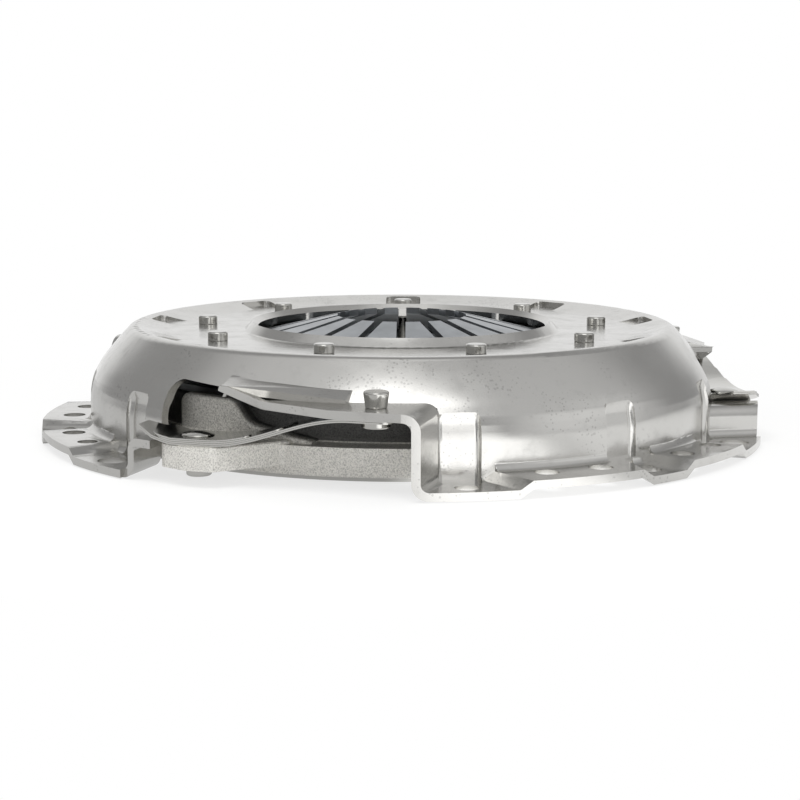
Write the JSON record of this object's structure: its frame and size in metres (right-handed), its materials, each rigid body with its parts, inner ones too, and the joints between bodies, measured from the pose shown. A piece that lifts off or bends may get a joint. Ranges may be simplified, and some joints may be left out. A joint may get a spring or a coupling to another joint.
{
  "type": "clutch pressure plate",
  "caption": "Push-type diaphragm spring clutch cover assembly: pressed steel cover with stepped flange, riveted fulcrum, slotted spring and cast plate hung on drive straps.",
  "frame": {"origin": "on the axis, in the plane of the low flange pads that sit on the flywheel", "axes": "+Z along the axis from the flywheel to the gearbox; the first side window faces -Y, the others follow at 120 degrees"},
  "size_m": [0.3, 0.2925, 0.0486],
  "materials": {
    "cover_sheet": "bright zinc plate, satin",
    "casting": "as cast, machined face and seats",
    "spring_steel": "phosphated spring steel",
    "fulcrum_rivets": "zinc plate",
    "ring_wire": "drawn wire",
    "strap_leaves": "rolled spring strip",
    "clamp_plates": "zinc plate",
    "strap_rivets": "zinc plate"
  },
  "bodies": {
    "cover": {"cover_pressing": "cover_sheet", "diaphragm_spring": "spring_steel", "upper_fulcrum_ring": "ring_wire", "lower_fulcrum_ring": "ring_wire", "fulcrum_rivet_1": "fulcrum_rivets", "fulcrum_rivet_2": "fulcrum_rivets", "fulcrum_rivet_3": "fulcrum_rivets", "fulcrum_rivet_4": "fulcrum_rivets", "fulcrum_rivet_5": "fulcrum_rivets", "fulcrum_rivet_6": "fulcrum_rivets", "fulcrum_rivet_7": "fulcrum_rivets", "fulcrum_rivet_8": "fulcrum_rivets", "fulcrum_rivet_9": "fulcrum_rivets", "strap_lower_leaf_1": "strap_leaves", "strap_upper_leaf_1": "strap_leaves", "strap_lower_leaf_2": "strap_leaves", "strap_upper_leaf_2": "strap_leaves", "strap_lower_leaf_3": "strap_leaves", "strap_upper_leaf_3": "strap_leaves", "shelf_rivet_1": "strap_rivets", "shelf_rivet_2": "strap_rivets", "shelf_rivet_3": "strap_rivets"},
    "plate": {"pressure_plate_casting": "casting", "support_leaf_1": "strap_leaves", "strap_clamp_plate_1": "clamp_plates", "lug_rivet_1": "strap_rivets", "support_leaf_2": "strap_leaves", "strap_clamp_plate_2": "clamp_plates", "lug_rivet_2": "strap_rivets", "support_leaf_3": "strap_leaves", "strap_clamp_plate_3": "clamp_plates", "lug_rivet_3": "strap_rivets"}
  },
  "joints": [
    {"name": "plate_lift", "type": "slide", "parent": "cover", "child": "plate", "axis": [0, 0, 1], "range_m": [0, 0.0035], "stiffness_N_per_m": 20000, "deforming": ["diaphragm_spring", "strap_lower_leaf_1", "strap_upper_leaf_1", "strap_lower_leaf_2", "strap_upper_leaf_2", "strap_lower_leaf_3", "strap_upper_leaf_3"]}
  ]
}
